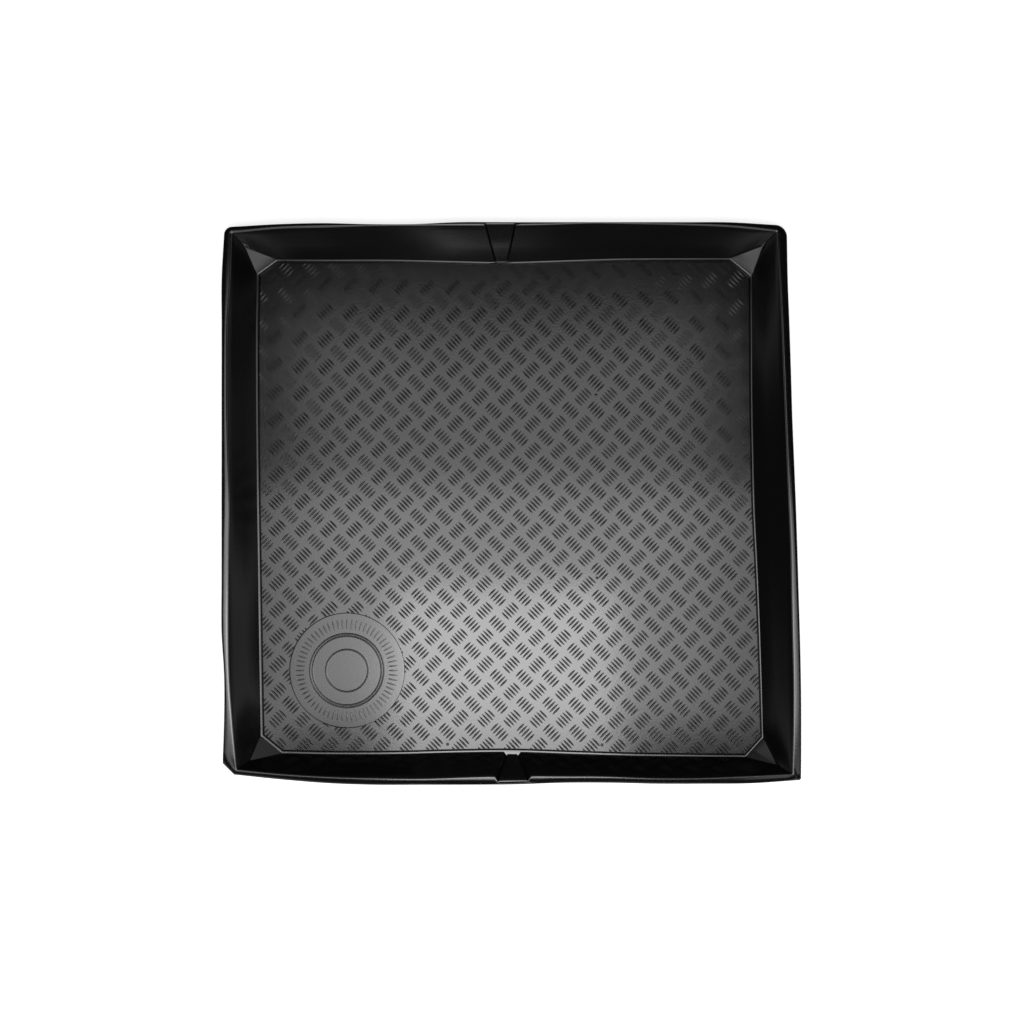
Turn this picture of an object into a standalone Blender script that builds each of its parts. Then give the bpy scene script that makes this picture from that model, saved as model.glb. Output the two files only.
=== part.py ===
"""A boot tray: one sheet drawn down into a shallow pan, with sloping walls and a narrow flange.

Metres. +Z is up, +Y points to the back seats and -Y to the tailgate. The origin is under the middle
of the tray, on the surface that it lies on.

The pan is a loft through closed rings of points. Every ring has the same columns, so a feature that
climbs the wall, such as a corner facet or a folding wedge, is a matter of where its columns stand.
The tread is laid into the floor last, as low ridges that share the floor's own surface.
"""

import math
from dataclasses import dataclass, replace

import bmesh
import bpy
from mathutils import Vector
from mathutils.geometry import delaunay_2d_cdt

# Overall size
TRAY_WIDTH = 1.078
TRAY_DEPTH = 1.047
TRAY_HEIGHT = 0.058
SHEET = 0.003

# Sides are always given in the order left, rear, right, front, and corners in the order front
# left, rear left, rear right, front right, which is anticlockwise seen from above.

# The knife ran wide along the left side, and came in near its rear end
TRIM_STEP = 0.0046
TRIM_STEP_FROM_REAR = 0.2015
TRIM_STEP_RUN = 0.004

# The trimmed edge: how far each corner lies in from the sides of the overall box, in X and in Y
RIM_CORNER_INSETS = ((0.0, 0.0074), (TRIM_STEP, 0.0186), (0.0, 0.0100), (0.0277, 0.0040))
RIM_BOWS = (0.0, 0.0129, 0.0035, 0.0052)
RIM_CUTS = (0.015, 0.021, 0.004, 0.022)
RIM_ROUNDED = (True, False, False, True)

# The lip, where the wall turns over into the flange, which droops a little to its trimmed edge
FLANGE_DROOP = 0.0010
FLANGE_AT_CORNERS = ((0.0186, 0.0120), (0.0233, 0.0102), (0.0170, 0.0102), (0.0180, 0.0123))
LIP_BOWS = (0.0100, 0.0105, 0.0080, 0.0122)
LIP_CORNER = 0.006
LIP_BEND = 0.0020

# The wall's foot: the wall's run seen from above, measured near the corners of each side
WALL_RUNS = (0.0365, 0.0215, 0.0413, 0.0410)
FOOT_BOWS = (0.0035, 0.0005, -0.0040, 0.0)
PINCHES = (0.0, 0.0055, 0.0, 0.0058)
PINCH_REACH = 0.150

# A narrow plain border and a shallow groove run round the tread panel, inside the wall's foot
BORDER_WIDTH = 0.0034
GROOVE_WIDTH = 0.0030
GROOVE_DEPTH = 0.0008

# Flat three-sided facets fill the corners at the wall's foot
FACET_CUT = 0.034
FACET_HEIGHT = 0.40
CREASE_RADIUS = 0.003

# Folding wedges: sunk panels in the middle of the rear and front walls, narrow at the foot
WEDGE_TOP_WIDTH = 0.0600
WEDGE_FOOT_WIDTH = 0.0240
WEDGE_SIDE = 0.0030
WEDGE_XS = (0.0, 0.0017, 0.0, -0.0200)
WEDGE_TOP_DEPTHS = (0.0, 0.0080, 0.0, 0.0015)
WEDGE_FOOT_DEPTHS = (0.0, 0.0045, 0.0, 0.0015)

# Tread: groups of five bars in a basket weave at 45 degrees. Each group is one low hipped ridge
# here, that runs the way its bars run.
BARS = 5
BAR_LENGTH = 0.0225
BAR_WIDTH = 0.0044
BAR_PITCH = 0.0067
BAR_RISE = 0.0012
RIDGE_HIP = 0.25
GROUP_GAP = 0.0077
WEAVE_STRETCH = 1.039
WEAVE_X = -0.0302
WEAVE_Y = -0.1263
TREAD_MARGIN = 0.0020
SHORTEST_BAR = 0.0080

# A plain round boss with one raised ring, where the tread is left out
DISC_FROM_LEFT_FOOT = 0.1617
DISC_FROM_REAR_FOOT = 0.1561
DISC_RADIUS = 0.110
DISC_RISE = 0.0006
DISC_SLOPE = 0.0015
RING_RADIUS = 0.070
RING_WIDTH = 0.0045
RING_RISE = 0.0010
DISC_SEGMENTS = 48

# How finely the loft follows its curves
CORNER_STEPS = 4
PLAIN_STEPS = 12
WEDGE_STRETCH_STEPS = 6
LONG_STEPS = 9
SHORT_STEPS = 3
TRIAL_STEPS = 12
MERGE_DISTANCE = 1e-7

LEFT, REAR, RIGHT, FRONT = range(4)
INWARD = (Vector((1, 0)), Vector((0, 1)), Vector((-1, 0)), Vector((0, -1)))
# An inset chamfer grows shorter by this share of the inset, at a square corner
CHAMFER_LOSS = 2 - math.sqrt(2)
# The triangulation's own code for keeping only what lies inside the given edges
INSIDE_EDGES = 1


@dataclass
class Ring:
    """One closed ring of the loft: its corners and how they are cut, its sides and its height."""

    corners: list
    height: float
    cuts: tuple
    rounded: tuple
    bows: tuple
    pinches: tuple = (0.0, 0.0, 0.0, 0.0)
    wedge_width: float = WEDGE_FOOT_WIDTH
    wedge_depths: tuple = (0.0, 0.0, 0.0, 0.0)
    trim_step: float = 0.0


def same(value):
    """The same value for all four sides or corners."""
    return (value,) * 4


def blend(first, second, share):
    """A value, or a list of them, on the way from the first to the second."""
    if isinstance(first, (tuple, list)):
        return [blend(a, b, share) for a, b in zip(first, second)]
    return first * (1 - share) + second * share


def between(first, second, share):
    """A ring on the way from the first ring to the second."""
    return Ring(
        corners=blend(first.corners, second.corners, share),
        height=blend(first.height, second.height, share),
        cuts=blend(first.cuts, second.cuts, share),
        rounded=second.rounded,
        bows=blend(first.bows, second.bows, share),
        pinches=blend(first.pinches, second.pinches, share),
        wedge_width=blend(first.wedge_width, second.wedge_width, share),
        wedge_depths=blend(first.wedge_depths, second.wedge_depths, share),
    )


def moved_in(corners, amounts):
    """Corners of the same plan, with each side moved inwards by its amount."""
    moved = []
    for index, corner in enumerate(corners):
        before = INWARD[index - 1] * amounts[index - 1]
        after = INWARD[index] * amounts[index]
        moved.append(corner + before + after)
    return moved


def moved_out(corners, amounts):
    """Corners of the same plan, with each side moved outwards by its amount."""
    return moved_in(corners, [-amount for amount in amounts])


def corner_points(corner, before, after, cut, rounded):
    """Points round one corner, from the side before it to the side after it."""
    towards_before = (before - corner).normalized() * cut
    towards_after = (after - corner).normalized() * cut
    centre = corner + towards_before + towards_after
    points = []
    for step in range(CORNER_STEPS + 1):
        share = step / CORNER_STEPS
        angle = math.radians(90) * share
        if rounded:
            points.append(centre - towards_after * math.cos(angle) - towards_before * math.sin(angle))
        else:
            points.append(corner + towards_before * (1 - share) + towards_after * share)
    return points


def spread(keys, counts):
    """Fractions along a side: its keys, with each stretch between them cut into equal parts."""
    marks = [0.0, *keys, 1.0]
    fractions = []
    for low, high, count in zip(marks, marks[1:], counts):
        fractions += [low + (high - low) * step / count for step in range(1, count)]
        fractions.append(high)
    return fractions[:-1]


def side_stations(side, start, end, ring):
    """Fractions along one side, each with how far it is pushed outwards there."""
    run = end - start
    if side == RIGHT:
        return [(fraction, 0.0) for fraction in spread((), (PLAIN_STEPS,))]
    if side == LEFT:
        middle = (TRIM_STEP_FROM_REAR - TRAY_DEPTH / 2 - start.y) / run.y
        half = TRIM_STEP_RUN / 2 / abs(run.y)
        fractions = spread((middle - half, middle + half), (LONG_STEPS, 1, SHORT_STEPS))
        return [(fraction, ring.trim_step * fraction if fraction < middle else 0.0) for fraction in fractions]
    middle = (WEDGE_XS[side] - start.x) / run.x
    inner = ring.wedge_width / 2 / abs(run.x)
    outer = inner + WEDGE_SIDE / abs(run.x)
    keys = (middle - outer, middle - inner, middle + inner, middle + outer)
    fractions = spread(keys, (WEDGE_STRETCH_STEPS, 1, 1, 1, WEDGE_STRETCH_STEPS))
    depth = ring.wedge_depths[side]
    return [(fraction, depth if fraction in keys[1:3] else 0.0) for fraction in fractions]


def side_points(side, start, end, ring):
    """Points along one side, between its corners."""
    run = end - start
    outward = Vector((run.y, -run.x)).normalized()
    points = []
    for fraction, push in side_stations(side, start, end, ring):
        point = start + run * fraction
        swell = ring.bows[side] * (1 - (2 * fraction - 1) ** 4)
        reach = min(abs(point.x - WEDGE_XS[side]) / PINCH_REACH, 1.0)
        pinch = ring.pinches[side] * (1 + math.cos(math.pi * reach)) / 2
        points.append(point + outward * (swell - pinch + push))
    return points


def plan(ring):
    """All the points of a ring seen from above, from the front left corner round."""
    arcs = []
    for index, corner in enumerate(ring.corners):
        before = ring.corners[index - 1]
        after = ring.corners[(index + 1) % 4]
        arcs.append(corner_points(corner, before, after, ring.cuts[index], ring.rounded[index]))
    points = []
    for side, arc in enumerate(arcs):
        points += arc
        points += side_points(side, arc[-1], arcs[(side + 1) % 4][0], ring)
    return points


def rim_ring():
    """The trimmed edge's top, as large as the overall box allows."""
    half = Vector((TRAY_WIDTH / 2, TRAY_DEPTH / 2))
    signs = (Vector((-1, 1)), Vector((-1, -1)), Vector((1, -1)), Vector((1, 1)))
    return Ring(
        corners=[sign * (half - Vector(inset)) for sign, inset in zip(signs, RIM_CORNER_INSETS)],
        height=TRAY_HEIGHT - FLANGE_DROOP,
        cuts=RIM_CUTS,
        rounded=RIM_ROUNDED,
        bows=RIM_BOWS,
        wedge_width=WEDGE_TOP_WIDTH,
        trim_step=TRIM_STEP,
    )


def lip_ring(rim):
    """The line where the wall would meet the flange if the bend between them were sharp."""
    signs = (Vector((1, -1)), Vector((1, 1)), Vector((-1, 1)), Vector((-1, -1)))
    insets = [sign * Vector(width) for sign, width in zip(signs, FLANGE_AT_CORNERS)]
    return Ring(
        corners=[corner + inset for corner, inset in zip(rim.corners, insets)],
        height=TRAY_HEIGHT,
        cuts=same(LIP_CORNER),
        rounded=same(True),
        bows=LIP_BOWS,
        wedge_width=WEDGE_TOP_WIDTH,
        wedge_depths=WEDGE_TOP_DEPTHS,
    )


def foot_ring(lip):
    """The wall's foot, with its corners cut off by the facets."""
    return Ring(
        corners=moved_in(lip.corners, WALL_RUNS),
        height=SHEET,
        cuts=same(FACET_CUT),
        rounded=same(False),
        bows=FOOT_BOWS,
        pinches=PINCHES,
        wedge_depths=WEDGE_FOOT_DEPTHS,
    )


def inset_ring(foot, inset, drop=0.0):
    """A ring of the floor, inset evenly from the foot of the wall, with straight sides there."""
    return replace(
        foot,
        corners=moved_in(foot.corners, same(inset)),
        height=foot.height - drop,
        cuts=[cut - CHAMFER_LOSS * inset for cut in foot.cuts],
        wedge_depths=same(0.0),
    )


def panel_ring(margin=0.0):
    """The edge of the tread panel, or a line a margin inside it."""
    return inset_ring(foot_ring(lip_ring(rim_ring())), BORDER_WIDTH + GROOVE_WIDTH + margin)


def facet_ring(foot, lip, radius):
    """The ring through the tops of the corner facets, where the wall's own creases begin."""
    return replace(between(foot, lip, FACET_HEIGHT), cuts=same(radius), rounded=same(True))


def upper_rings():
    """The rings of the upper surface, from the tread panel out to the trimmed edge."""
    rim = rim_ring()
    lip = lip_ring(rim)
    foot = foot_ring(lip)
    bend_start = between(foot, lip, 1 - LIP_BEND / (lip.height - foot.height))
    bend_end = replace(lip, corners=moved_out(lip.corners, same(LIP_BEND)))
    bend_middle = between(between(bend_start, bend_end, 0.5), lip, 0.5)
    return [
        panel_ring(),
        inset_ring(foot, BORDER_WIDTH + GROOVE_WIDTH / 2, GROOVE_DEPTH),
        inset_ring(foot, BORDER_WIDTH),
        foot,
        facet_ring(foot, lip, CREASE_RADIUS),
        bend_start,
        bend_middle,
        bend_end,
        rim,
    ]


def lower_rings():
    """The rings of the underside, from the trimmed edge in to the flat that the tray lies on.

    Each line of the upper surface moves out by the thickness times the tangent of half the angle
    that the sheet turns through there, which keeps the sheet's thickness on both sides of it.
    """
    rim = rim_ring()
    lip = lip_ring(rim)
    foot = foot_ring(lip)
    rise = lip.height - foot.height
    shifts = [SHEET * math.tan(math.atan2(rise, run) / 2) for run in WALL_RUNS]
    widest = max(shifts)
    under_lip = replace(
        lip,
        corners=moved_out(lip.corners, shifts),
        height=lip.height - SHEET,
        cuts=same(LIP_CORNER + widest),
        wedge_width=lip.wedge_width + SHEET,
    )
    under_foot = replace(
        foot,
        corners=moved_out(foot.corners, shifts),
        height=foot.height - SHEET,
        cuts=same(FACET_CUT + CHAMFER_LOSS * widest),
        wedge_width=foot.wedge_width + SHEET,
    )
    return [
        replace(rim, height=rim.height - SHEET),
        under_lip,
        facet_ring(under_foot, under_lip, CREASE_RADIUS + widest),
        under_foot,
    ]


def closed_ring(bm, points):
    """A closed ring of edges through the points."""
    verts = [bm.verts.new(point) for point in points]
    for index, vert in enumerate(verts):
        bm.edges.new((verts[index - 1], vert))
    return verts


def extruded_ring(bm, verts, points):
    """Extrude a closed ring of edges once, and put its new copy through the points."""
    edges = [bm.edges.get((verts[index - 1], vert)) for index, vert in enumerate(verts)]
    made = set(bmesh.ops.extrude_edge_only(bm, edges=edges)["geom"])
    copies = []
    for vert, point in zip(verts, points):
        across = [edge.other_vert(vert) for edge in vert.link_edges]
        copy = next(other for other in across if other in made)
        copy.co = point
        copies.append(copy)
    return copies


def ring_points(ring):
    """A ring's points in space."""
    return [point.to_3d() + Vector((0, 0, ring.height)) for point in plan(ring)]


def add_shell(bm):
    """Loft the sheet, all but the floor's upper face. The ring round that face is returned."""
    rings = upper_rings() + lower_rings()
    panel = closed_ring(bm, ring_points(rings[0]))
    last = panel
    for ring in rings[1:]:
        last = extruded_ring(bm, last, ring_points(ring))
    bmesh.ops.contextual_create(bm, geom=last)
    return panel


def disc_centre():
    """The middle of the plain boss, placed from the rear left corner of the wall's foot."""
    corner = foot_ring(lip_ring(rim_ring())).corners[1]
    return corner + Vector((DISC_FROM_LEFT_FOOT, DISC_FROM_REAR_FOOT))


def add_disc(bm):
    """The plain boss with its raised ring. Its foot on the floor is returned."""
    centre = disc_centre()
    top = SHEET + DISC_RISE
    section = (
        (DISC_RADIUS, SHEET),
        (DISC_RADIUS - DISC_SLOPE, top),
        (RING_RADIUS + RING_WIDTH / 2, top),
        (RING_RADIUS, top + RING_RISE),
        (RING_RADIUS - RING_WIDTH / 2, top),
    )
    circles = []
    for radius, height in section:
        turns = [math.tau * step / DISC_SEGMENTS for step in range(DISC_SEGMENTS)]
        circles.append([
            Vector((centre.x + radius * math.cos(turn), centre.y + radius * math.sin(turn), height))
            for turn in turns
        ])
    foot = closed_ring(bm, circles[0])
    last = foot
    for circle in circles[1:]:
        last = extruded_ring(bm, last, circle)
    bmesh.ops.contextual_create(bm, geom=last)
    return foot


def inside(point, outline):
    """Whether a point seen from above lies inside a closed outline."""
    crossings = 0
    for first, second in zip(outline, outline[1:] + outline[:1]):
        if (first.y > point.y) != (second.y > point.y):
            along = (point.y - first.y) / (second.y - first.y)
            crossings += first.x + (second.x - first.x) * along > point.x
    return crossings % 2 == 1


def open_run(centre, along, half_width, outline):
    """The longest stretch of a group that lies on the open floor, as distances from its centre."""
    disc = disc_centre()
    across = Vector((-along.y, along.x)) * half_width
    stations = [BAR_LENGTH * (step / TRIAL_STEPS - 0.5) for step in range(TRIAL_STEPS + 1)]
    best = []
    run = []
    for station in stations:
        edges = (centre + along * station + across, centre + along * station - across)
        clear = all(inside(point, outline) for point in edges)
        if clear and min((point - disc).length for point in edges) > DISC_RADIUS + TREAD_MARGIN:
            run.append(station)
        else:
            run = []
        if len(run) > len(best):
            best = list(run)
    return (best[0], best[-1]) if best else (0.0, 0.0)


def weave_groups(outline):
    """Each group's centre and the way its bars run, over the whole floor."""
    group_width = (BARS - 1) * BAR_PITCH + BAR_WIDTH
    pitch_x = math.sqrt(2) * ((BAR_LENGTH + group_width) / 2 + GROUP_GAP)
    pitch_y = pitch_x * WEAVE_STRETCH
    columns = math.ceil(TRAY_WIDTH / pitch_x)
    rows = math.ceil(TRAY_DEPTH / pitch_y)
    for shift, along in ((0.0, Vector((1, 1))), (0.5, Vector((1, -1)))):
        for column in range(-columns, columns + 1):
            for row in range(-rows, rows + 1):
                x = WEAVE_X + (column + shift) * pitch_x
                y = WEAVE_Y + (row + shift) * pitch_y
                yield Vector((x, y)), along.normalized(), group_width / 2


def add_ridge(bm, centre, along, half_width, low, high):
    """One group of bars as a low hipped ridge. Its foot on the floor is returned."""
    across = Vector((-along.y, along.x)) * half_width
    hip = (high - low) * RIDGE_HIP
    lifted = Vector((0, 0, BAR_RISE))
    plan_points = (
        centre + along * low - across,
        centre + along * high - across,
        centre + along * high + across,
        centre + along * low + across,
    )
    foot = [bm.verts.new(point.to_3d() + Vector((0, 0, SHEET))) for point in plan_points]
    ends = [
        bm.verts.new((centre + along * station).to_3d() + Vector((0, 0, SHEET)) + lifted)
        for station in (low + hip, high - hip)
    ]
    bm.faces.new((foot[0], foot[1], ends[1], ends[0]))
    bm.faces.new((foot[1], foot[2], ends[1]))
    bm.faces.new((foot[2], foot[3], ends[0], ends[1]))
    bm.faces.new((foot[3], foot[0], ends[0]))
    return foot


def add_tread(bm):
    """The ridges of the tread, on the part of the floor that is free. Their feet are returned."""
    outline = plan(panel_ring(TREAD_MARGIN))
    feet = []
    for centre, along, half_width in weave_groups(outline):
        low, high = open_run(centre, along, half_width, outline)
        if high - low >= SHORTEST_BAR:
            feet.append(add_ridge(bm, centre, along, half_width, low, high))
    return feet


def fill_floor(bm, panel, feet):
    """The floor's upper face, inside the ring round the panel and outside each foot on it."""
    verts = list(panel)
    edges = [(index - 1, index) for index in range(1, len(panel))] + [(len(panel) - 1, 0)]
    owner = [None] * len(panel)
    for number, foot in enumerate(feet):
        first = len(verts)
        count = len(foot)
        edges += [(first + index, first + (index + 1) % count) for index in range(count)]
        owner += [number] * count
        verts += foot
    flat = [vert.co.to_2d() for vert in verts]
    _, _, triangles, originals, _, _ = delaunay_2d_cdt(flat, edges, [], INSIDE_EDGES, MERGE_DISTANCE)
    for triangle in triangles:
        corners = [originals[index][0] for index in triangle]
        owners = {owner[corner] for corner in corners}
        if len(owners) > 1 or owners == {None}:
            bm.faces.new([verts[corner] for corner in corners])


def rubber():
    """Satin black rubber."""
    material = bpy.data.materials.new("black_rubber")
    material.use_nodes = True
    shader = material.node_tree.nodes["Principled BSDF"]
    shader.inputs["Base Color"].default_value = (0.012, 0.012, 0.013, 1.0)
    shader.inputs["Roughness"].default_value = 0.42
    shader.inputs["Metallic"].default_value = 0.0
    return material


def centred(bm):
    """Move the mesh so that its bounding box stands centred on the origin, on Z 0."""
    xs = [vert.co.x for vert in bm.verts]
    ys = [vert.co.y for vert in bm.verts]
    middle = Vector(((min(xs) + max(xs)) / 2, (min(ys) + max(ys)) / 2, 0))
    bmesh.ops.translate(bm, verts=bm.verts, vec=-middle)


def build_tray():
    """The tray as one object."""
    bm = bmesh.new()
    panel = add_shell(bm)
    feet = add_tread(bm) + [add_disc(bm)]
    fill_floor(bm, panel, feet)
    centred(bm)
    bmesh.ops.recalc_face_normals(bm, faces=bm.faces)
    mesh = bpy.data.meshes.new("tray")
    bm.to_mesh(mesh)
    bm.free()
    tray = bpy.data.objects.new("tray", mesh)
    mesh.materials.append(rubber())
    bpy.context.scene.collection.objects.link(tray)
    mesh.shade_smooth()
    mesh.set_sharp_from_angle(angle=math.radians(20))
    return tray


def clear_scene():
    """Remove whatever the open scene holds."""
    for item in list(bpy.data.objects):
        bpy.data.objects.remove(item, do_unlink=True)


clear_scene()
build_tray()
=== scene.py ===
import math
from dataclasses import dataclass, replace

import bmesh
import bpy
from mathutils import Matrix, Vector
from mathutils.bvhtree import BVHTree


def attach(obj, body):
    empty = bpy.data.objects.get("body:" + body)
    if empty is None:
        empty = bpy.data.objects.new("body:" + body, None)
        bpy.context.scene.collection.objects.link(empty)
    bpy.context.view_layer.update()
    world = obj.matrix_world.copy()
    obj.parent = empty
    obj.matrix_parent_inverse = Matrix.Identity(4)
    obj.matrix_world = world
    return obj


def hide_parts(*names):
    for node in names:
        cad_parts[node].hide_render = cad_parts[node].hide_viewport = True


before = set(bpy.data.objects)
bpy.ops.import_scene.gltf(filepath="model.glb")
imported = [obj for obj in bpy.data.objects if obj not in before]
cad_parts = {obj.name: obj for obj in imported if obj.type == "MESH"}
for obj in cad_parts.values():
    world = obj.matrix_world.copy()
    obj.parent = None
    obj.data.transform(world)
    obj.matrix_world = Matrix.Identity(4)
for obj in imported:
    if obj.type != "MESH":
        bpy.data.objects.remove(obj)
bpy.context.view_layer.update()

# A cargo tray, thermoformed from one sheet of black rubber. Lengths are in metres, +Z is up, and +Y
# points to the back seats. Sides are given in the order left, rear, right, front, and corners in
# the order front left, rear left, rear right, front right.

LEFT, REAR, RIGHT, FRONT = range(4)
INWARD = (Vector((1, 0)), Vector((0, 1)), Vector((-1, 0)), Vector((0, -1)))
UP = Vector((0, 0, 1))
MM = 0.001
TINY = 1e-6
# A straight corner cut grows shorter by this share of the distance that its line moves inwards
CHAMFER_LOSS = 2 - math.sqrt(2)

# The sheet's thickness, which is also the height of the floor's upper face, and the heights of the
# lip and of the flange's outer edge
SHEET = 0.003
LIP_HEIGHT = 0.058
FLANGE_EDGE_HEIGHT = 0.057

# Corner points of the three lines that give the tray its plan, as if no corner was rounded or cut
FOOT_CORNERS = ((-0.4838, 0.4630), (-0.4762, -0.4739), (0.4787, -0.4815), (0.4550, 0.4658))
LIP_CORNERS = ((-0.5211, 0.5041), (-0.5118, -0.4950), (0.5227, -0.5034), (0.4938, 0.5069))
RIM_CORNERS = ((-0.5352, 0.5151), (-0.5378, -0.5047), (0.5389, -0.5151), (0.5124, 0.5188))

# How far each side swells out from the straight line between its corners, in millimetres at even
# stations along it. A formed sheet is never quite straight after it is cut free.
FOOT_SWELLS = (
    (0.0, 2.9, 3.8, 3.9, 3.6, 2.8, 2.0, 1.1, 0.0),
    (0.0, 1.1, -0.2, -3.8, -5.7, -3.0, -0.6, 0.0, 0.0),
    (0.0, -0.2, -1.1, -2.9, -5.4, -5.3, -4.2, -1.8, 0.0),
    (0.0, 0.4, -0.1, -3.3, -6.0, -3.5, -0.7, -0.4, 0.0),
)
LIP_SWELLS = (
    (0.0, 3.1, 8.9, 10.7, 11.0, 10.0, 8.4, 10.0, 11.6, 12.6, 11.3, 6.4, 0.0),
    (0.0, 7.7, 12.1, 13.7, 13.8, 10.3, 7.4, 7.2, 7.0, 9.5, 8.8, 4.7, 0.0),
    (0.0, 4.3, 7.0, 7.7, 8.4, 9.1, 8.1, 7.1, 6.2, 5.2, 4.2, 2.8, 0.0),
    (0.0, 8.5, 12.1, 14.1, 15.6, 13.7, 12.6, 12.8, 12.3, 11.7, 9.6, 7.8, 0.0),
)
RIM_SWELLS = (
    (0.0, 4.2, 4.0, 3.8, 3.6, 3.4, 3.2, 2.9, 2.7, 2.5, -2.4, -2.6, 0.0),
    (0.0, 8.2, 14.4, 16.6, 15.7, 14.8, 13.1, 9.4, 8.5, 9.5, 8.6, 6.8, 0.0),
    (0.0, 2.4, 4.2, 4.7, 4.4, 4.2, 3.7, 2.6, 1.3, 1.0, 0.4, -0.6, 0.0),
    (0.0, 5.1, 5.5, 5.8, 6.1, 6.4, 6.7, 7.0, 3.6, 3.9, 6.1, 4.5, 0.0),
)

# How each line turns its corners: the cuts along the side before and the side after each corner,
# and whether the line is rounded there or runs straight across
FOOT_CUTS = ((0.0385, 0.0275), (0.0325, 0.0400), (0.0345, 0.0370), (0.0335, 0.0400))
FACET_CUTS = ((0.0009, 0.0009),) * 4
LIP_CUTS = ((0.0026, 0.0026),) * 4
RIM_CUTS = ((0.015, 0.015), (0.021, 0.021), (0.003, 0.003), (0.022, 0.022))
RIM_ROUNDED = (True, False, False, True)

# Corner facets reach this share of the wall's height
FACET_SHARE = 0.44

# Folding wedges in the rear and front walls, each as it stands at the foot and at the lip: the
# middle in X, the width of its sunk panel, the width of its sloping sides, and how far it is sunk
WEDGES_AT_FOOT = {
    REAR: (0.0013, 0.0215, 0.0052, 0.0045),
    FRONT: (-0.0189, 0.0222, 0.0018, 0.0010),
}
WEDGES_AT_LIP = {
    REAR: (0.0027, 0.0560, 0.0060, 0.0080),
    FRONT: (-0.0213, 0.0560, 0.0020, 0.0021),
}

# A wedge folds along sharp creases at its sides, which are pressed deeper than its panel, and the
# front one along its foot as well
CREASE_DEPTH = 0.0028
CREASE_WIDTH = 0.0018
FOOT_CREASE_DEPTH = 0.0016

# Bends of the sheet: how far along the section each one starts to turn, and in how many steps
FOOT_BEND = 0.0011
LIP_BEND = 0.0026
EDGE_BEND = 0.0015
BEND_STEPS = 5
# The sheet turns twice this many degrees at the wall's foot and at the lip, so its underside runs
# further out than its upper face
HALF_TURN = 28

# The flange is a little domed: halfway to its edge it stands this high over the straight line
FLANGE_CROWN = 0.0004
CREST_SHARE = 0.5

# The border: a shallow groove between the wall's foot and the tread panel, with a flat strip inside it
BORDER_WIDTHS = (0.0036, 0.0032, 0.0022, 0.0034)
GROOVE_WIDTH = 0.0036
GROOVE_DEPTH = 0.0016
FLAT_EDGE = 0.0010

# The flange's outer edge stands above or below the lip by this much, in millimetres at even
# stations along each side: it waves, as a free edge of warm sheet does when it cools
FLANGE_RISES = (
    (0.8, 1.0, 1.0, 1.2, 1.3, 1.7, 1.9, 1.7, 1.4),
    (-0.2, -0.6, -0.9, -0.9, -0.5, -0.9, -0.9, -0.5, -0.4),
    (0.0, 1.2, 1.2, 1.0, 0.4, -0.2, -0.2, -0.2, -0.4),
    (-0.4, 0.2, 0.6, 0.2, 0.4, 0.6, 0.9, 0.7, 0.2),
)

# How finely the sheet follows its curves: steps along a side, steps across a wedge's panel and
# stations at its sides, shares of a turn round a corner, and shares of the wall over the facets
SIDE_STEPS = 84
WEDGE_STEPS = 12
WEDGE_SIDE_STATIONS = 4
CORNER_SHARES = (0.0, 0.06, 0.2, 0.4, 0.6, 0.8, 0.94, 1.0)
WALL_SHARES = (0.35, 0.7)

# Tread: groups of five bars, laid as a basket weave at 45 degrees
BARS = 5
BAR_LENGTH = 0.0240
END_BAR_LENGTH = 0.0212
BAR_WIDTH = 0.0041
BAR_PITCH = 0.0067
BAR_RISE = 0.0015
BAR_SINK = 0.0002
# Places along a bar, from end to end, and its section: places across, each with its height
BAR_STATIONS = (-1.0, -0.86, -0.5, 0.0, 0.5, 0.86, 1.0)
BAR_SECTION = (
    (-1.0, 0.0),
    (-0.45, 0.84),
    (-0.16, 0.97),
    (0.0, 1.0),
    (0.16, 0.97),
    (0.45, 0.84),
    (1.0, 0.0),
)
# A bar is pointed in plan: these powers shape its flanks. It falls to the floor in this last share
# of its half length.
BAR_TAPER = 2.2
BAR_FULLNESS = 0.8
BAR_TIP = 0.14

# The weave: how far apart its groups are, where one of them lies, how far out from there it is
# laid, and how many columns and rows are added so that it covers the whole panel
WEAVE_PITCH_X = 0.04886
WEAVE_PITCH_Y = 0.05062
WEAVE_AT = (-0.0309, -0.1280)
WEAVE_REACH = 0.5
EXTRA_COLUMNS = 2
EXTRA_ROWS = 6

# The sheet crept as it cooled, so the weave's columns lean and fan out, and its rows lean, bow and
# spread. Each is how far the weave is carried at the edges of the tread panel, in millimetres.
PANEL_REACH = 0.440
COLUMNS_LEAN = -8.6
COLUMNS_FAN = -3.6
COLUMNS_FLARE = 3.4
ROWS_LEAN = -1.6
ROWS_FAN = 3.9
ROWS_BOW = 4.2
ROWS_BOW_TO_FRONT = 10.6
ROWS_SPREAD = 3.0
ROWS_SPREAD_TO_FRONT = 6.2

# Bars are cut against upright walls round the panel and the boss, this high over and under the
# floor. A bar is tested at these shares of its half length.
FENCE_REACH = 0.01
TESTED_SHARES = (-0.95, -0.6, -0.3, 0.0, 0.3, 0.6, 0.95)

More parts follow.
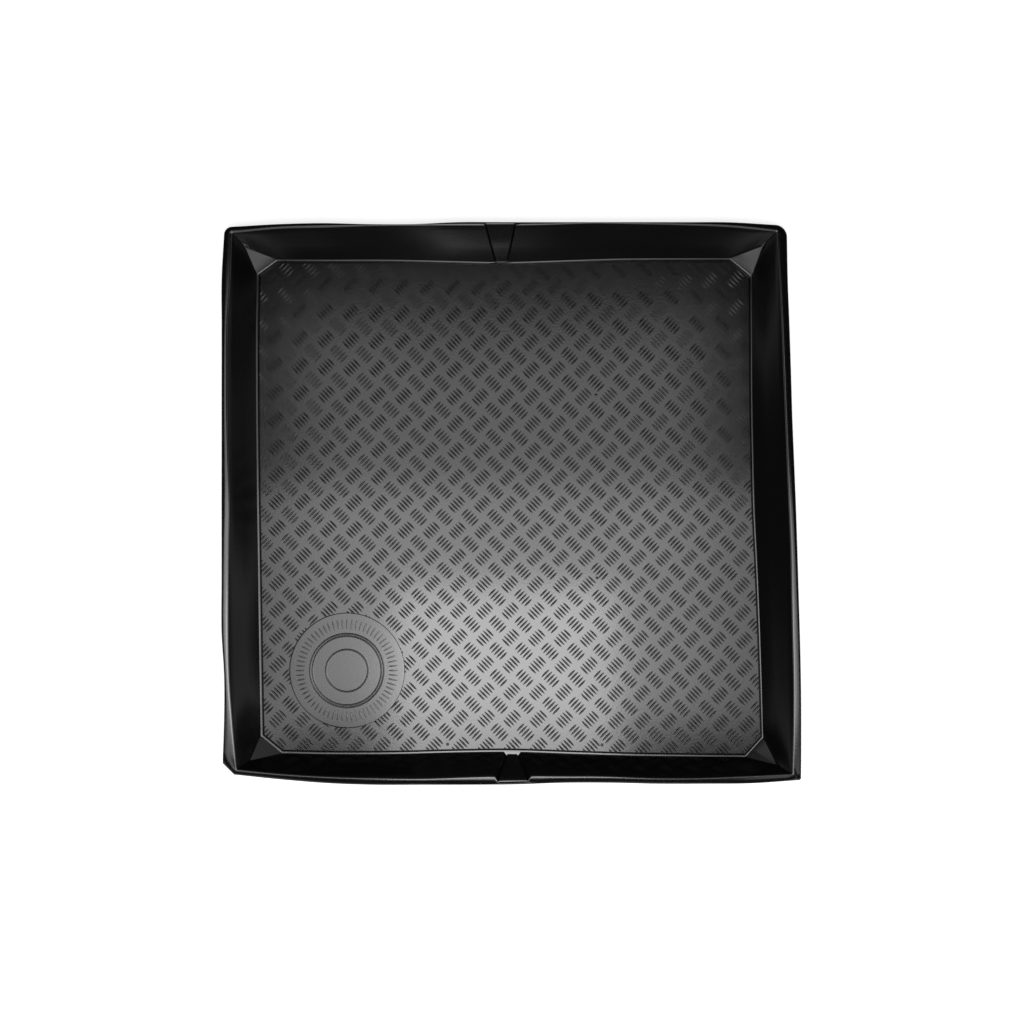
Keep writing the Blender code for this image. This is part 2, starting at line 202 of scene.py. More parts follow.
# The round boss: plain, with generic rings and ribs. Its sections are steps out from its radius, or
# from a ring's, and up from its top; its edge starts under the floor.
BOSS_AT = (-0.3127, -0.3171)
BOSS_RADIUS = 0.110
BOSS_RISE = 0.0006
BOSS_EDGE = ((0.0002, -0.0010), (-0.0004, -0.0002), (-0.0012, 0.0), (-0.0024, 0.0))
BOSS_HUB = 0.004
BOSS_STEPS = 144
BOSS_FENCE_STEPS = 96
BOSS_RINGS = (0.0700, 0.0655, 0.0400)
RING_SECTION = (
    (0.0020, 0.0),
    (0.0010, 0.0),
    (0.0005, 0.0004),
    (-0.0005, 0.0004),
    (-0.0010, 0.0),
    (-0.0020, 0.0),
)
RIBS = 64
RIB_RADIUS = 0.0880
RIB_LENGTH = 0.0200
RIB_WIDTH = 0.0030
RIB_RISE = 0.0004

# Small pips that the mould left on the floor. Ribs and pips are low domes, sunk a little.
PIPS_AT = ((-0.1216, -0.4571), (0.1718, -0.4586), (0.1623, -0.1413), (0.1604, 0.2064))
PIP_WIDTH = 0.0060
PIP_RISE = 0.0010
DOME_SINK = 0.0001
DOME_SEGMENTS = 12
DOME_RINGS = 8

# Edges that turn by more than this many degrees stay sharp: as a rule, on the sheet, on the boss
# and on the ribs
SHARP_TURN = 30
SHEET_SHARP_TURN = 24
BOSS_SHARP_TURN = 40
RIB_SHARP_TURN = 60

# The rubber's colour, and its gloss, which comes and goes in patches of about 110 mm: low and high
# are the values between which their pattern mostly stays
RUBBER_COLOUR = "#080809"
RUBBER_IOR = 1.5
ROUGHNESS_GLOSSY = 0.125
ROUGHNESS_DULL = 0.145
PATCH_SIZE = 1 / 9
PATCH_DETAIL = 3.0
PATCH_HARSHNESS = 0.5
PATCH_LOW = 0.3
PATCH_HIGH = 0.7
# Its grain: on the real sheet it is finer than a pixel, so it is drawn coarse, at 4 mm
GRAIN_SIZE = 4 * MM
GRAIN_DETAIL = 2.0
GRAIN_HARSHNESS = 0.55
GRAIN_STRENGTH = 0.12
GRAIN_HEIGHT = 0.0003

# The studio floor, and the glow of its own that brings it to white for the camera
FLOOR_HALF = 8.0
FLOOR_COLOUR = "#f2f2f2"
FLOOR_ROUGHNESS = 0.9
FLOOR_GLOW = 0.66
WHITE = "#ffffff"

# The room as the rubber mirrors it: heights, as shares of a direction's length, each with how bright
# the room is there, and how much brighter or darker it is to the rear and to the front
ROOM_GLOWS = (
    (0.03, 0.35),
    (0.12, 0.03),
    (0.42, 0.03),
    (0.52, 1.2),
    (0.72, 1.2),
    (0.79, 0.02),
    (0.90, 0.02),
)
ROOM_TURN = 0.6
ROOM_TO_REAR = 1.8
ROOM_TO_FRONT = 0.5
# How bright the room is for light that isn't mirrored
ROOM_FILL = 0.25

# The skylight that the floor mirrors: where its middle and its soft edge lie, as shares of a
# direction's length across and along, and how bright it is
SKYLIGHT_MIDDLE = (-0.007, -0.012)
SKYLIGHT_INNER = 0.130
SKYLIGHT_OUTER = 0.168
SKYLIGHT_GLOW = 2.9

# Soft lamps: name, place, the point each is aimed at, width, height, and brightness of the face
SOFTBOXES = (
    ("rear_softbox", (-0.03, -0.90, 3.0), (-0.03, -0.90, 0.0), 0.92, 1.15, 7.2),
    ("middle_softbox", (0.18, -0.41, 3.02), (0.18, -0.41, 0.0), 2.6, 0.98, 2.5),
    ("right_softbox", (1.32, -1.34, 3.0), (1.32, -1.34, 0.0), 0.7, 0.7, 1.5),
    ("left_softbox", (-1.20, -1.15, 3.0), (-1.20, -1.15, 0.0), 0.5, 0.6, 2.2),
    ("low_softbox", (-0.08, -3.2, 0.75), (0.0, 0.0, 0.0), 0.5, 0.4, 2.0),
)

# The camera looks straight down from a little to the rear of the tray's middle
CAMERA_AT = (0.0008, -0.0159, 2.603)
CAMERA_LENS = 48.1
CAMERA_SENSOR = 36.0


@dataclass
class Line:
    """One closed line round the tray: its corners, how they are cut, its sides and its height."""

    corners: list
    height: float
    cuts: tuple
    rounded: tuple
    swells: tuple
    wedges: dict


def same(value):
    """The same value for all four sides or corners."""
    return (value,) * 4


def blend(first, second, share):
    """A number on the way from the first to the second."""
    return first * (1 - share) + second * share


def along_stations(values, fraction):
    """A smooth curve through values at even stations, read at a fraction of the way along."""
    place = fraction * (len(values) - 1)
    index = min(int(place), len(values) - 2)
    share = place - index
    near, far = values[index], values[index + 1]
    before = values[index - 1] if index > 0 else 2 * near - far
    after = values[index + 2] if index + 2 < len(values) else 2 * far - near
    slope_near = (far - before) / 2
    slope_far = (after - near) / 2
    square, cube = share**2, share**3
    return (
        near * (2 * cube - 3 * square + 1)
        + slope_near * (cube - 2 * square + share)
        + far * (3 * square - 2 * cube)
        + slope_far * (cube - square)
    )


def moved_in(corners, amounts):
    """Corners of the same plan, with each side moved inwards by its amount."""
    moved = []
    for index, corner in enumerate(corners):
        before = INWARD[index - 1] * amounts[index - 1]
        after = INWARD[index] * amounts[index]
        moved.append(corner + before + after)
    return moved


def corner_points(corner, before, after, cuts, rounded):
    """Points round one corner, from the side before it to the side after it."""
    towards_before = (before - corner).normalized() * cuts[0]
    towards_after = (after - corner).normalized() * cuts[1]
    centre = corner + towards_before + towards_after
    points = []
    for share in CORNER_SHARES:
        angle = math.radians(90) * share
        if rounded:
            points.append(centre - towards_after * math.cos(angle) - towards_before * math.sin(angle))
        else:
            points.append(corner + towards_before * (1 - share) + towards_after * share)
    return points


def even(low, high, count):
    """Numbers at even steps after low, up to high."""
    return [blend(low, high, step / count) for step in range(1, count + 1)]


def side_fractions(side, start, end, wedges):
    """Fractions along one side, each with how far the side is sunk there."""
    if side not in wedges:
        return [(fraction, 0.0) for fraction in even(0.0, 1.0, SIDE_STEPS)[:-1]]
    middle, width, slope, depth = wedges[side]
    crease = depth + CREASE_DEPTH if depth else 0.0
    run = end.x - start.x
    middle = (middle - start.x) / run
    half = width / 2 / abs(run)
    outer = half + slope / abs(run)
    inner = half - CREASE_WIDTH / abs(run)
    long_steps = (SIDE_STEPS - WEDGE_STEPS - WEDGE_SIDE_STATIONS) // 2
    found = [(fraction, 0.0) for fraction in even(0.0, middle - outer, long_steps)]
    found += [(middle - half, crease), (middle - inner, depth)]
    found += [(fraction, depth) for fraction in even(middle - inner, middle + inner, WEDGE_STEPS)]
    found += [(middle + half, crease), (middle + outer, 0.0)]
    found += [(fraction, 0.0) for fraction in even(middle + outer, 1.0, long_steps)]
    return found[:-1]


def side_points(side, start, end, line):
    """Points along one side, between its corners."""
    run = end - start
    outward = Vector((run.y, -run.x)).normalized()
    points = []
    for fraction, depth in side_fractions(side, start, end, line.wedges):
        swell = along_stations(line.swells[side], fraction) * MM
        points.append(start + run * fraction + outward * (swell + depth))
    return points


def ring(line):
    """All the points of a line, from the front left corner round."""
    arcs = []
    for index, corner in enumerate(line.corners):
        before = line.corners[index - 1]
        after = line.corners[(index + 1) % 4]
        arcs.append(corner_points(corner, before, after, line.cuts[index], line.rounded[index]))
    points = []
    for side, arc in enumerate(arcs):
        points += arc
        points += side_points(side, arc[-1], arcs[(side + 1) % 4][0], line)
    return [point.to_3d() + UP * line.height for point in points]


def corners_of(pairs):
    """Corner points as vectors."""
    return [Vector(pair) for pair in pairs]


def without_wedges(wedges):
    """The same wedges, sunk by nothing."""
    return {side: (middle, width, slope, 0.0) for side, (middle, width, slope, _) in wedges.items()}


def foot_line():
    """Where the wall's face would meet the floor."""
    return Line(corners_of(FOOT_CORNERS), SHEET, FOOT_CUTS, same(False), FOOT_SWELLS, WEDGES_AT_FOOT)


def lip_line():
    """Where the wall's face would meet the flange."""
    return Line(corners_of(LIP_CORNERS), LIP_HEIGHT, LIP_CUTS, same(True), LIP_SWELLS, WEDGES_AT_LIP)


def rim_line():
    """The trimmed edge of the flange."""
    wedges = without_wedges(WEDGES_AT_LIP)
    return Line(corners_of(RIM_CORNERS), FLANGE_EDGE_HEIGHT, RIM_CUTS, RIM_ROUNDED, RIM_SWELLS, wedges)


def less_cut(cuts, amount):
    """Corner cuts, each shorter by an amount."""
    return tuple(tuple(cut - amount for cut in pair) for pair in cuts)


def floor_line(insets, drop=0.0):
    """A line on the floor, inset from the wall's foot, with straight sides at the wedges."""
    foot = foot_line()
    inset = sum(insets) / 4
    return replace(
        foot,
        corners=moved_in(foot.corners, insets),
        height=foot.height - drop,
        cuts=less_cut(foot.cuts, CHAMFER_LOSS * inset),
        wedges=without_wedges(foot.wedges),
    )


def panel_edge():
    """How far inside the wall's foot the tread panel ends, for each side."""
    return [width + GROOVE_WIDTH for width in BORDER_WIDTHS]


def mixed_rings(first, second, share):
    """A ring on the way from the first ring to the second."""
    return [near.lerp(far, share) for near, far in zip(first, second)]


def facet_swells(low, high):
    """The swells of one side at the tops of the facets, from those at its foot and at its lip."""
    steps = len(high) - 1
    swells = []
    for step in range(steps + 1):
        at_foot = along_stations(low, step / steps)
        at_lip = along_stations(high, step / steps)
        swells.append(blend(at_foot, at_lip, FACET_SHARE))
    return swells


def facet_ring(foot, lip):
    """The ring through the tops of the corner facets."""
    wedges = {}
    for side in foot.wedges:
        pairs = zip(foot.wedges[side], lip.wedges[side])
        wedges[side] = tuple(blend(low, high, FACET_SHARE) for low, high in pairs)
    line = replace(
        lip,
        corners=[low.lerp(high, FACET_SHARE) for low, high in zip(foot.corners, lip.corners)],
        height=blend(foot.height, lip.height, FACET_SHARE),
        cuts=FACET_CUTS,
        rounded=same(False),
        swells=[facet_swells(low, high) for low, high in zip(foot.swells, lip.swells)],
        wedges=wedges,
    )
    return ring(line)


def bend_rings(before, corner, after, reach):
    """Rings round a bend of the sheet, where a sharp corner line would run."""
    rings = []
    for step in range(BEND_STEPS + 1):
        share = step / BEND_STEPS
        points = []
        for first, middle, last in zip(before, corner, after):
            start = middle + (first - middle).normalized() * min(reach, (first - middle).length / 2)
            end = middle + (last - middle).normalized() * min(reach, (last - middle).length / 2)
            points.append(start.lerp(middle, share).lerp(middle.lerp(end, share), share))
        rings.append(points)
    return rings


def waved(points):
    """The flange's edge, raised or lowered by each side's waves."""
    per_side = len(points) // 4
    raised = []
    for index, point in enumerate(points):
        side = min(index // per_side, FRONT)
        fraction = (index - side * per_side) / per_side
        rise = along_stations(FLANGE_RISES[side], fraction) * MM
        raised.append(point + UP * rise)
    return raised


def creased_foot(points):
    """The wall's foot, pressed down along the foot of the front wedge's panel."""
    middle, width, _, _ = WEDGES_AT_FOOT[FRONT]
    for point in points:
        if point.y > 0 and abs(point.x - middle) < width / 2:
            point.z -= FOOT_CREASE_DEPTH
    return points


def upper_rings():
    """The rings of the upper face, from the tread panel out to the trimmed edge."""
    foot = foot_line()
    lip = lip_line()
    groove_middle = [width + GROOVE_WIDTH / 2 for width in BORDER_WIDTHS]
    flat_strip = [width + FLAT_EDGE for width in panel_edge()]
    border = ring(floor_line(BORDER_WIDTHS))
    foot_ring = creased_foot(ring(foot))
    facet = facet_ring(foot, lip)
    lip_ring = ring(lip)
    rim = waved(ring(rim_line()))
    rings = [ring(floor_line(flat_strip)), ring(floor_line(panel_edge()))]
    rings += [ring(floor_line(groove_middle, GROOVE_DEPTH)), border]
    rings += bend_rings(border, foot_ring, facet, FOOT_BEND)
    rings += [facet]
    rings += [mixed_rings(facet, lip_ring, share) for share in WALL_SHARES]
    crest = [point + UP * FLANGE_CROWN for point in mixed_rings(lip_ring, rim, CREST_SHARE)]
    rings += bend_rings(facet, lip_ring, crest, LIP_BEND)
    rings += [crest]
    edge = [point - UP * SHEET for point in rim]
    rings += bend_rings(crest, rim, edge, EDGE_BEND)
    return rings


def lower_rings():
    """The rings of the underside, from the trimmed edge in to the flat that the tray lies on."""
    foot = foot_line()
    lip = lip_line()
    shift = SHEET * math.tan(math.radians(HALF_TURN))
    under_lip = replace(
        lip,
        corners=moved_in(lip.corners, same(-shift)),
        height=lip.height - SHEET,
        cuts=less_cut(lip.cuts, -shift),
    )
    under_foot = replace(
        foot,
        corners=moved_in(foot.corners, same(-shift)),
        height=0.0,
        cuts=less_cut(foot.cuts, -CHAMFER_LOSS * shift),
    )
    rim = [point - UP * SHEET for point in waved(ring(rim_line()))]
    facet = facet_ring(under_foot, under_lip)
    lip_ring = ring(under_lip)
    foot_ring = ring(under_foot)
    flat = ring(replace(floor_line(BORDER_WIDTHS), height=0.0))
    rings = [rim]
    rings += bend_rings(rim, lip_ring, facet, LIP_BEND)
    rings += [facet]
    rings += bend_rings(facet, foot_ring, flat, FOOT_BEND)
    rings += [flat]
    return rings


def closed_ring(bm, points):
    """A closed ring of edges through the points."""
    verts = [bm.verts.new(point) for point in points]
    for index, vert in enumerate(verts):
        bm.edges.new((verts[index - 1], vert))
    return verts


def extruded_ring(bm, verts, points):
    """Extrude a closed ring of edges once, and put its new copy through the points."""
    edges = [bm.edges.get((verts[index - 1], vert)) for index, vert in enumerate(verts)]
    made = set(bmesh.ops.extrude_edge_only(bm, edges=edges)["geom"])
    copies = []
    for vert, point in zip(verts, points):
        across = [edge.other_vert(vert) for edge in vert.link_edges]
        copy = next(other for other in across if other in made)
        copy.co = point
        copies.append(copy)
    return copies


def finished(name, bm, material, sharp_turn=SHARP_TURN):
    """A piece made from a bmesh, smooth but for edges that turn by more than the given angle."""
    mesh = bpy.data.meshes.new(name)
    bm.to_mesh(mesh)
    bm.free()
    mesh.materials.append(material)
    mesh.shade_smooth()
    mesh.set_sharp_from_angle(angle=math.radians(sharp_turn))
    piece = bpy.data.objects.new(name, mesh)
    bpy.context.scene.collection.objects.link(piece)
    return piece


def build_sheet(material):
    """The formed sheet: floor, border, walls, wedges, flange and underside."""
    bm = bmesh.new()
    rings = upper_rings() + lower_rings()
    first = closed_ring(bm, rings[0])
    bmesh.ops.contextual_create(bm, geom=first)
    last = first
    for points in rings[1:]:
        last = extruded_ring(bm, last, points)
    bmesh.ops.contextual_create(bm, geom=last)
    bmesh.ops.recalc_face_normals(bm, faces=bm.faces)
    return finished("tray_sheet", bm, material, SHEET_SHARP_TURN)


def new_copy(bm, source):
    """Copy the given vertices, edges and faces, and return the copy's vertices."""
    made = bmesh.ops.duplicate(bm, geom=source)
    return [item for item in made["geom"] if isinstance(item, bmesh.types.BMVert)]


def repeated(bm, step, count):
    """Copies of everything in the bmesh, count times in all, each a step further on."""
    source = list(bm.verts) + list(bm.edges) + list(bm.faces)
    for place in range(1, count):
        bmesh.ops.translate(bm, verts=new_copy(bm, source), vec=step * place)


def bar_mesh():
    """One bar of the tread, lying along X: pointed in plan, with steep sides and a low crown."""
    bm = bmesh.new()
    columns = len(BAR_STATIONS) - 1
    rows = len(BAR_SECTION) - 1
    bmesh.ops.create_grid(bm, x_segments=columns, y_segments=rows, size=1.0)
    for vert in bm.verts:
        along = BAR_STATIONS[round((vert.co.x + 1) / 2 * columns)]
        across, height = BAR_SECTION[round((vert.co.y + 1) / 2 * rows)]
        width = (1 - abs(along) ** BAR_TAPER) ** BAR_FULLNESS
        tip = min((1 - abs(along)) / BAR_TIP, 1.0)
        vert.co = Vector((
            along * BAR_LENGTH / 2,
            across * BAR_WIDTH / 2 * width,
            SHEET - BAR_SINK + height * tip * (BAR_RISE + BAR_SINK),
        ))
    return bm


def group_of_bars(direction):
    """Five bars side by side, the outer two shorter, turned to run at 45 degrees."""
    bm = bar_mesh()
    repeated(bm, Vector((0, BAR_PITCH, 0)), BARS)
    bmesh.ops.translate(bm, verts=bm.verts, vec=(0, -(BARS - 1) / 2 * BAR_PITCH, 0))
    # The outer bars lie past a line a quarter of a pitch inside their middles
    limit = ((BARS - 1) / 2 - 0.25) * BAR_PITCH
    outer = [vert for vert in bm.verts if abs(vert.co.y) > limit]
    bmesh.ops.scale(bm, verts=outer, vec=(END_BAR_LENGTH / BAR_LENGTH, 1, 1))
    angle = math.atan2(direction.y, direction.x)
    bmesh.ops.rotate(bm, verts=bm.verts, cent=(0, 0, 0), matrix=Matrix.Rotation(angle, 3, UP))
    return bm


def islands(bm):
    """The bmesh's separate bars, each as a list of vertices."""
    left = set(bm.verts)
    found = []
    while left:
        start = left.pop()
        bar = [start]
        for vert in bar:
            for edge in vert.link_edges:
                other = edge.other_vert(vert)
                if other in left:
                    left.discard(other)
                    bar.append(other)
        found.append(bar)
    return found


def inside(point, outline):
    """Whether a point seen from above lies inside a closed outline."""
    crossings = 0
    for first, second in zip(outline, outline[1:] + outline[:1]):
        if (first.y > point.y) != (second.y > point.y):
            along = (point.y - first.y) / (second.y - first.y)
            crossings += first.x + (second.x - first.x) * along > point.x
    return crossings % 2 == 1


def is_open(point, outline):
    """Whether the tread runs at a point: inside the panel's outline and outside the boss."""
    return (point.xy - Vector(BOSS_AT)).length > BOSS_RADIUS and inside(point, outline)


def crept(point):
    """Where a point of the even weave lies once the sheet has cooled."""
    x = point.x / PANEL_REACH
    y = point.y / PANEL_REACH
    carried_x = COLUMNS_LEAN * y + COLUMNS_FAN * x * y + COLUMNS_FLARE * x * y**2
    carried_y = ROWS_LEAN * x + ROWS_FAN * x * y + (ROWS_BOW + ROWS_BOW_TO_FRONT * y) * x**2
    carried_y += ROWS_SPREAD * y**2 + ROWS_SPREAD_TO_FRONT * y**3
    return point + Vector((carried_x, carried_y, 0)) * MM


def boss_outline():
    """Points round the boss, at the height of the floor."""
    middle = Vector((*BOSS_AT, SHEET))
    turns = [math.tau * step / BOSS_FENCE_STEPS for step in range(BOSS_FENCE_STEPS)]
    return [middle + Vector((math.cos(turn), math.sin(turn), 0)) * BOSS_RADIUS for turn in turns]


def fence_of(outlines):
    """Upright walls round the outlines, to cut bars against."""
    bm = bmesh.new()
    for points in outlines:
        low = closed_ring(bm, [point - UP * FENCE_REACH for point in points])
        extruded_ring(bm, low, [point + UP * FENCE_REACH for point in points])
    tree = BVHTree.FromBMesh(bm)
    bm.free()
    return tree


def cut_bar(bar, direction, outline, fence):
    """Cut one bar flush with the border or the boss. False when nothing of it is left."""
    centre = sum((vert.co for vert in bar), Vector()) / len(bar)
    centre.z = SHEET
    across = Vector((-direction.y, direction.x, 0))
    places = [BAR_LENGTH / 2 * share for share in TESTED_SHARES]
    clear = []
    for place in places:
        flanks = [centre + direction * place + across * side * BAR_WIDTH / 2 for side in (-1, 1)]
        clear.append(all(is_open(point, outline) for point in flanks))
    if all(clear):
        return True
    if not any(clear):
        return False
    open_places = [place for place, free in zip(places, clear) if free]
    anchor = open_places[len(open_places) // 2]
    for vert in bar:
        offset = vert.co - centre
        row = centre + across * offset.dot(across) + direction * anchor
        way = direction * (offset.dot(direction) - anchor)
        if way.length > TINY:
            hit = fence.ray_cast(row, way.normalized(), way.length)[0]
            if hit:
                vert.co.x, vert.co.y = hit.x, hit.y
    return True


def build_tread(name, direction, shift, material):
    """The bars that run one way, cut flush where they meet the border or the boss."""
    outline = ring(floor_line(panel_edge()))
    fence = fence_of((outline, boss_outline()))
    columns = math.ceil(WEAVE_REACH / WEAVE_PITCH_X)
    rows = math.ceil(WEAVE_REACH / WEAVE_PITCH_Y)
    bm = group_of_bars(direction)
    x = WEAVE_AT[0] + (shift - columns) * WEAVE_PITCH_X
    y = WEAVE_AT[1] + (shift - rows) * WEAVE_PITCH_Y
    bmesh.ops.translate(bm, verts=bm.verts, vec=(x, y, 0))
    repeated(bm, Vector((WEAVE_PITCH_X, 0, 0)), 2 * columns + EXTRA_COLUMNS)
    repeated(bm, Vector((0, WEAVE_PITCH_Y, 0)), 2 * rows + EXTRA_ROWS)
    for vert in bm.verts:
        vert.co = crept(vert.co)
    gone = []
    for bar in islands(bm):
        if not cut_bar(bar, direction, outline, fence):
            gone += bar
    bmesh.ops.delete(bm, geom=gone, context="VERTS")
    bmesh.ops.dissolve_degenerate(bm, dist=TINY, edges=bm.edges)
    return finished(name, bm, material)


def turned_section(bm, centre, section):
    """A surface turned round an upright axis from a section of radii and heights."""
    verts = [bm.verts.new(centre + Vector((radius, 0, height))) for radius, height in section]
    edges = [bm.edges.new(pair) for pair in zip(verts, verts[1:])]
    bmesh.ops.spin(
        bm,
        geom=verts + edges,
        cent=centre,
        axis=UP,
        angle=math.tau,
        steps=BOSS_STEPS,
        use_merge=True,
    )


def build_boss(material):
    """The round boss, plain, with generic raised rings."""
    bm = bmesh.new()
    top = SHEET + BOSS_RISE
    section = [(BOSS_RADIUS + out, top + up) for out, up in BOSS_EDGE]
    for radius in BOSS_RINGS:
        section += [(radius + out, top + up) for out, up in RING_SECTION]
    section += [(BOSS_HUB, top)]
    turned_section(bm, Vector((*BOSS_AT, 0.0)), section)
    hub = [edge for edge in bm.edges if edge.is_boundary and edge.verts[0].co.z > SHEET]
    bmesh.ops.contextual_create(bm, geom=hub)
    bmesh.ops.recalc_face_normals(bm, faces=bm.faces)
    if sum(face.normal.z * face.calc_area() for face in bm.faces) < 0:
        bmesh.ops.reverse_faces(bm, faces=bm.faces)
    return finished("tray_boss", bm, material, BOSS_SHARP_TURN)


def low_dome(bm, place, length, width, rise):
    """A low oval dome, lying along X before it is turned. Its vertices are returned."""
    sphere = bmesh.ops.create_uvsphere(bm, u_segments=DOME_SEGMENTS, v_segments=DOME_RINGS, radius=1.0)
    below = [vert for vert in sphere["verts"] if vert.co.z < -TINY]
    bmesh.ops.delete(bm, geom=below, context="VERTS")
    kept = [vert for vert in sphere["verts"] if vert.is_valid]
    bmesh.ops.scale(bm, verts=kept, vec=(length / 2, width / 2, rise))
    bmesh.ops.translate(bm, verts=kept, vec=place)
    return kept


def build_ribs(material):
    """The boss's band of generic ribs, and the small pips on the floor."""
    bm = bmesh.new()
    rib = low_dome(bm, Vector((RIB_RADIUS, 0, 0)), RIB_LENGTH, RIB_WIDTH, RIB_RISE)
    source = rib + list(bm.faces)
    for place in range(1, RIBS):
        turn = Matrix.Rotation(math.tau * place / RIBS, 3, "Z")
        bmesh.ops.rotate(bm, verts=new_copy(bm, source), cent=(0, 0, 0), matrix=turn)
    bmesh.ops.translate(bm, verts=bm.verts, vec=(*BOSS_AT, SHEET + BOSS_RISE - DOME_SINK))
    for x, y in PIPS_AT:
        low_dome(bm, Vector((x, y, SHEET - DOME_SINK)), PIP_WIDTH, PIP_WIDTH, PIP_RISE)
    return finished("boss_ribs", bm, material, RIB_SHARP_TURN)


def linear(hex_colour):
    """A colour written as an sRGB hex value, as linear numbers for a shader."""
    turned = []
    for index in (1, 3, 5):
        value = int(hex_colour[index : index + 2], 16) / 255
        turned.append(value / 12.92 if value <= 0.04045 else ((value + 0.055) / 1.055) ** 2.4)
    return (*turned, 1.0)


def add_node(tree, kind, settings=None, links=None):
    """Add a node with the settings, the inputs' values and the links that are given by name or number."""
    node = tree.nodes.new(kind)
    for name, value in (settings or {}).items():
        if isinstance(name, int) or name in node.inputs:
            node.inputs[name].default_value = value
        else:
            setattr(node, name, value)
    for name, output in (links or {}).items():
        tree.links.new(output, node.inputs[name])
    return node


def satin_rubber():
    """Thermoformed rubber sheet.

    It is near black with a satin gloss, so that each bar and bend shows as a soft light line beside
    a black one. The gloss comes and goes in slow patches, and a faint grain breaks up the light.
    """
    material = bpy.data.materials.new("thermoformed_black_rubber")
    material.use_nodes = True
    tree = material.node_tree
    shader = tree.nodes["Principled BSDF"]
    shader.inputs["Base Color"].default_value = linear(RUBBER_COLOUR)
    shader.inputs["IOR"].default_value = RUBBER_IOR
    place = add_node(tree, "ShaderNodeTexCoord")
    at_point = {"Vector": place.outputs["Object"]}
    slow = {"Scale": 1 / PATCH_SIZE, "Detail": PATCH_DETAIL, "Roughness": PATCH_HARSHNESS}
    patches = add_node(tree, "ShaderNodeTexNoise", slow, at_point)
    spread = {"From Min": PATCH_LOW, "From Max": PATCH_HIGH}
    spread |= {"To Min": ROUGHNESS_GLOSSY, "To Max": ROUGHNESS_DULL}
    gloss = add_node(tree, "ShaderNodeMapRange", spread, {"Value": patches.outputs["Fac"]})
    tree.links.new(gloss.outputs["Result"], shader.inputs["Roughness"])
    fine = {"Scale": 1 / GRAIN_SIZE, "Detail": GRAIN_DETAIL, "Roughness": GRAIN_HARSHNESS}
    grain = add_node(tree, "ShaderNodeTexNoise", fine, at_point)
    height = {"Strength": GRAIN_STRENGTH, "Distance": GRAIN_HEIGHT}
    relief = add_node(tree, "ShaderNodeBump", height, {"Height": grain.outputs["Fac"]})
    tree.links.new(relief.outputs["Normal"], shader.inputs["Normal"])
    return material


def seen_straight(tree, rays):
    """One for rays from the camera, also those that came through glass, and nothing for others."""
    kinds = {0: rays.outputs["Is Camera Ray"], 1: rays.outputs["Is Transmission Ray"]}
    return add_node(tree, "ShaderNodeMath", {"operation": "MAXIMUM"}, kinds).outputs[0]


def build_floor():
    """A plain pale studio floor: matt, so that it mirrors nothing and keeps a soft shadow."""
    bm = bmesh.new()
    bmesh.ops.create_grid(bm, x_segments=1, y_segments=1, size=FLOOR_HALF)
    material = bpy.data.materials.new("pale_studio_floor")
    material.use_nodes = True
    tree = material.node_tree
    shader = tree.nodes["Principled BSDF"]
    shader.inputs["Base Color"].default_value = linear(FLOOR_COLOUR)
    shader.inputs["Roughness"].default_value = FLOOR_ROUGHNESS
    seen = seen_straight(tree, add_node(tree, "ShaderNodeLightPath"))
    lift = add_node(tree, "ShaderNodeMath", {"operation": "MULTIPLY", 1: FLOOR_GLOW}, {0: seen})
    glow = add_node(tree, "ShaderNodeEmission", {"Color": linear(WHITE)}, {"Strength": lift.outputs[0]})
    both = add_node(tree, "ShaderNodeAddShader", links={0: shader.outputs[0], 1: glow.outputs[0]})
    tree.links.new(both.outputs[0], tree.nodes["Material Output"].inputs["Surface"])
    floor = finished("studio_floor", bm, material)


def soft_edge(tree, side, middle):
    """One inside the skylight and nothing outside it, with a soft edge, along one side of the view."""
    offset = add_node(tree, "ShaderNodeMath", {"operation": "SUBTRACT", 1: middle}, {0: side})
    reach = add_node(tree, "ShaderNodeMath", {"operation": "ABSOLUTE"}, {0: offset.outputs[0]})
    fall = {"From Min": SKYLIGHT_INNER, "From Max": SKYLIGHT_OUTER, "To Min": 1.0, "To Max": 0.0}
    fall["interpolation_type"] = "SMOOTHSTEP"
    return add_node(tree, "ShaderNodeMapRange", fall, {"Value": reach.outputs[0]}).outputs["Result"]


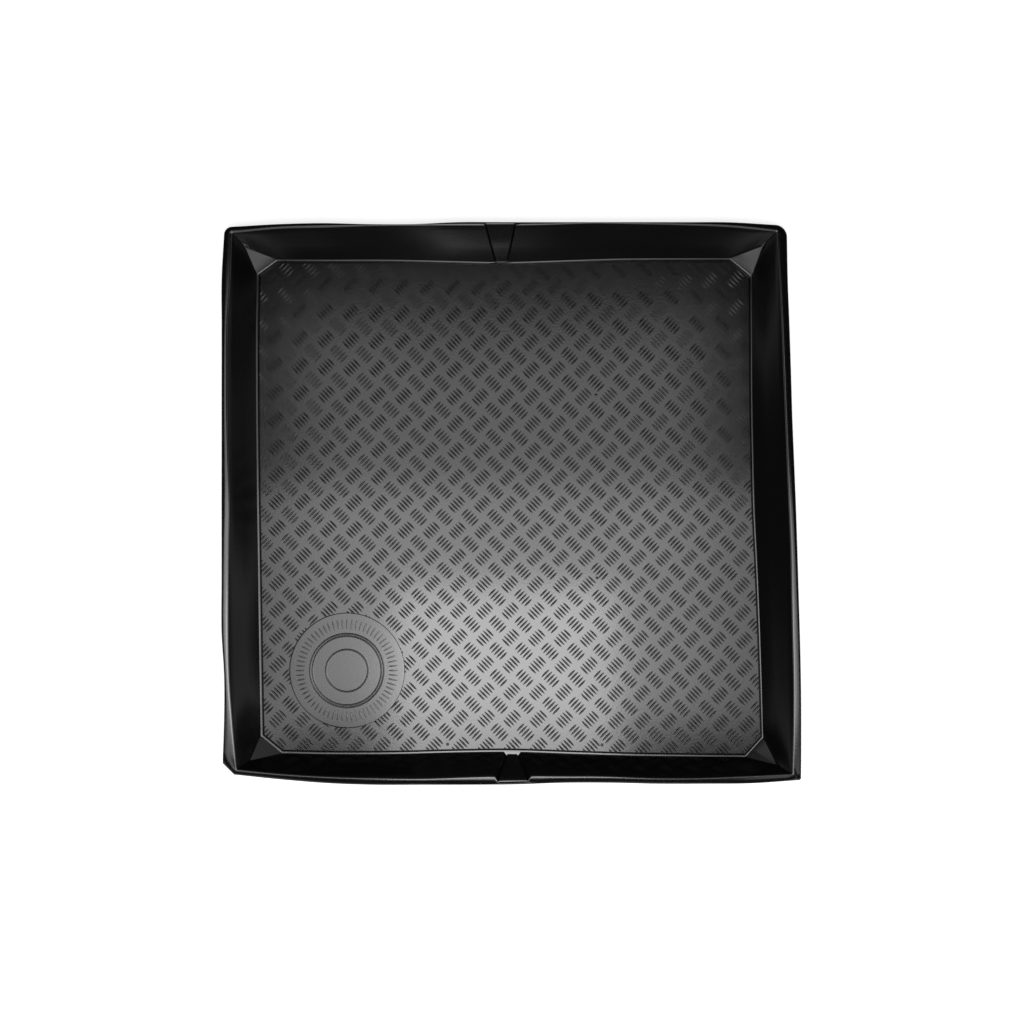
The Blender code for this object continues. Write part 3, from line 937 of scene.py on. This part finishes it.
def build_world():
    """A white backdrop to the camera. Reflections see a dark room with a bright band and a skylight."""
    world = bpy.data.worlds.new("studio")
    bpy.context.scene.world = world
    world.use_nodes = True
    tree = world.node_tree
    rays = add_node(tree, "ShaderNodeLightPath")
    place = add_node(tree, "ShaderNodeTexCoord")
    parts = add_node(tree, "ShaderNodeSeparateXYZ", links={"Vector": place.outputs["Generated"]})
    heights = add_node(tree, "ShaderNodeValToRGB", links={"Fac": parts.outputs["Z"]})
    stops = heights.color_ramp.elements
    for stop, (height, _) in zip(stops, (ROOM_GLOWS[0], ROOM_GLOWS[-1])):
        stop.position = height
    for height, _ in ROOM_GLOWS[1:-1]:
        stops.new(height)
    for stop, (_, glow) in zip(stops, ROOM_GLOWS):
        stop.color = (glow, glow, glow, 1.0)
    turn = {"From Min": -ROOM_TURN, "From Max": ROOM_TURN, "To Min": ROOM_TO_REAR, "To Max": ROOM_TO_FRONT}
    sides = add_node(tree, "ShaderNodeMapRange", turn, {"Value": parts.outputs["Y"]})
    low_room = add_node(
        tree,
        "ShaderNodeMath",
        {"operation": "MULTIPLY"},
        {0: heights.outputs["Color"], 1: sides.outputs["Result"]},
    )
    across = soft_edge(tree, parts.outputs["X"], SKYLIGHT_MIDDLE[0])
    along = soft_edge(tree, parts.outputs["Y"], SKYLIGHT_MIDDLE[1])
    skylight = add_node(tree, "ShaderNodeMath", {"operation": "MULTIPLY"}, {0: across, 1: along})
    room = add_node(
        tree,
        "ShaderNodeMath",
        {"operation": "MULTIPLY_ADD", 1: SKYLIGHT_GLOW},
        {0: skylight.outputs[0], 2: low_room.outputs[0]},
    )
    mirrored = {"Factor": rays.outputs["Is Glossy Ray"], "B": room.outputs[0]}
    to_object = add_node(tree, "ShaderNodeMix", {"A": ROOM_FILL}, mirrored)
    backdrop = {"Factor": seen_straight(tree, rays), "A": to_object.outputs["Result"]}
    to_all = add_node(tree, "ShaderNodeMix", {"B": 1.0}, backdrop)
    background = tree.nodes["Background"]
    background.inputs["Color"].default_value = linear(WHITE)
    tree.links.new(to_all.outputs["Result"], background.inputs["Strength"])


def add_softbox(name, place, aim, width, height, brightness):
    """A rectangular soft lamp, whose face is as bright as asked."""
    lamp = bpy.data.lights.new(name, "AREA")
    lamp.shape = "RECTANGLE"
    lamp.size = width
    lamp.size_y = height
    lamp.energy = brightness * math.pi * width * height
    light = bpy.data.objects.new(name, lamp)
    light.location = place
    light.rotation_euler = (Vector(aim) - Vector(place)).to_track_quat("-Z", "Y").to_euler()
    bpy.context.scene.collection.objects.link(light)


def add_camera():
    """The camera, straight above the tray."""
    camera_data = bpy.data.cameras.new("camera")
    camera_data.lens = CAMERA_LENS
    camera_data.sensor_width = CAMERA_SENSOR
    camera = bpy.data.objects.new("camera", camera_data)
    camera.location = CAMERA_AT
    bpy.context.scene.collection.objects.link(camera)
    bpy.context.scene.camera = camera


rubber = satin_rubber()
sheet = build_sheet(rubber)
rising_bars = build_tread("tread_bars_rising", Vector((1, 1, 0)).normalized(), 0.0, rubber)
falling_bars = build_tread("tread_bars_falling", Vector((1, -1, 0)).normalized(), 0.5, rubber)
boss = build_boss(rubber)
ribs = build_ribs(rubber)
for piece in (sheet, rising_bars, falling_bars, boss, ribs):
    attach(piece, "root")
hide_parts("tray")

build_floor()
build_world()
for softbox in SOFTBOXES:
    add_softbox(*softbox)
add_camera()

bpy.context.scene.view_settings.view_transform = "Standard"
